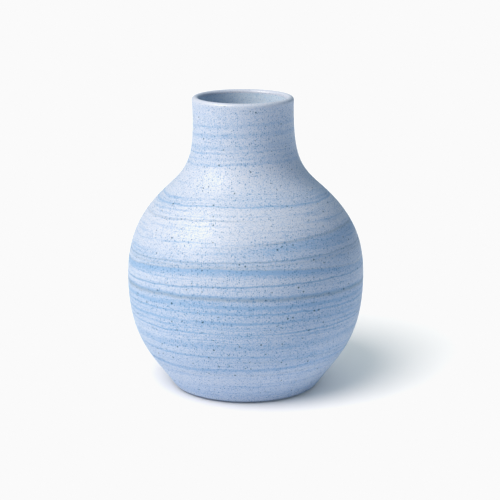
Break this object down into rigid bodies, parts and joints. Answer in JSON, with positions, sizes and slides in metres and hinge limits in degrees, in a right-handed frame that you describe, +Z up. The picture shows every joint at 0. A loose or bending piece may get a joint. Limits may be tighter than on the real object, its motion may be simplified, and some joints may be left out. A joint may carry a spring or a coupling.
{
  "type": "bud vase",
  "caption": "Wheel-thrown stoneware bud vase: globular belly, short straight neck, soft round lip and flat foot ring, in blue marbled clay with a clear liner glaze.",
  "frame": {"origin": "centre of the base, at the height of the surface that the vase stands on", "axes": "+Z up along the axis that the vase was turned about; it is the same all round, so +X is free"},
  "size_m": [0.1208, 0.1208, 0.15],
  "materials": {
    "marbled_clay": "satin matte, banded",
    "clear_liner_glaze": "satin gloss"
  },
  "bodies": {
    "root": {"vase_body": "marbled_clay", "liner_glaze": "clear_liner_glaze"}
  },
  "joints": []
}
